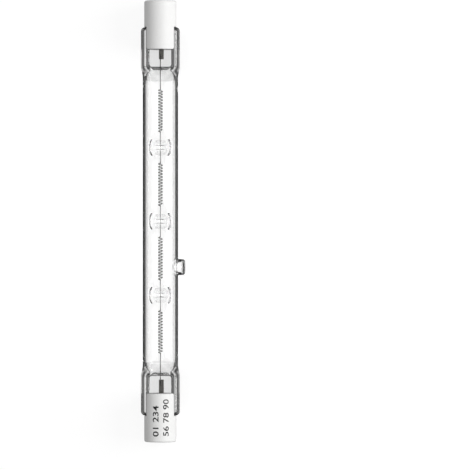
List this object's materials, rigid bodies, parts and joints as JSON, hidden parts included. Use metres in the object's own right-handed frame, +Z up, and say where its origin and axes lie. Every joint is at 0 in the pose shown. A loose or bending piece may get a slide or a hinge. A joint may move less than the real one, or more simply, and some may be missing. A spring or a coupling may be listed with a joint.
{
  "type": "linear halogen bulb",
  "caption": "Double-ended linear halogen bulb: clear quartz tube with pressed ends, coiled filament on dimple supports and white ceramic caps with recessed contacts.",
  "frame": {"origin": "centre of the bounding box's underside, on the surface that the bulb lies on", "axes": "+Y along the bulb, towards the cap that is up in the picture (upper); +Z up; +X towards the exhaust tip's side. The bulb lies on its tube and on its exhaust tip, so the flat of its pinch seals leans about 28 degrees from level."},
  "size_m": [0.0114, 0.1176, 0.0094],
  "materials": {
    "quartz": "clear fused quartz, fire polished",
    "steatite": "fine matt unglazed steatite",
    "cement": "rough matt cement",
    "tungsten": "dull drawn tungsten wire",
    "molybdenum": "dull grey rolled molybdenum",
    "contact_metal": "satin nickel-plated contact"
  },
  "bodies": {
    "root": {"quartz_envelope": "quartz", "filament": "tungsten", "end_cap_upper": "steatite", "cap_cement_upper": "cement", "contact_button_upper": "contact_metal", "outer_lead_upper": "molybdenum", "seal_foil_upper": "molybdenum", "end_cap_lower": "steatite", "cap_cement_lower": "cement", "contact_button_lower": "contact_metal", "outer_lead_lower": "molybdenum", "seal_foil_lower": "molybdenum"}
  },
  "joints": []
}
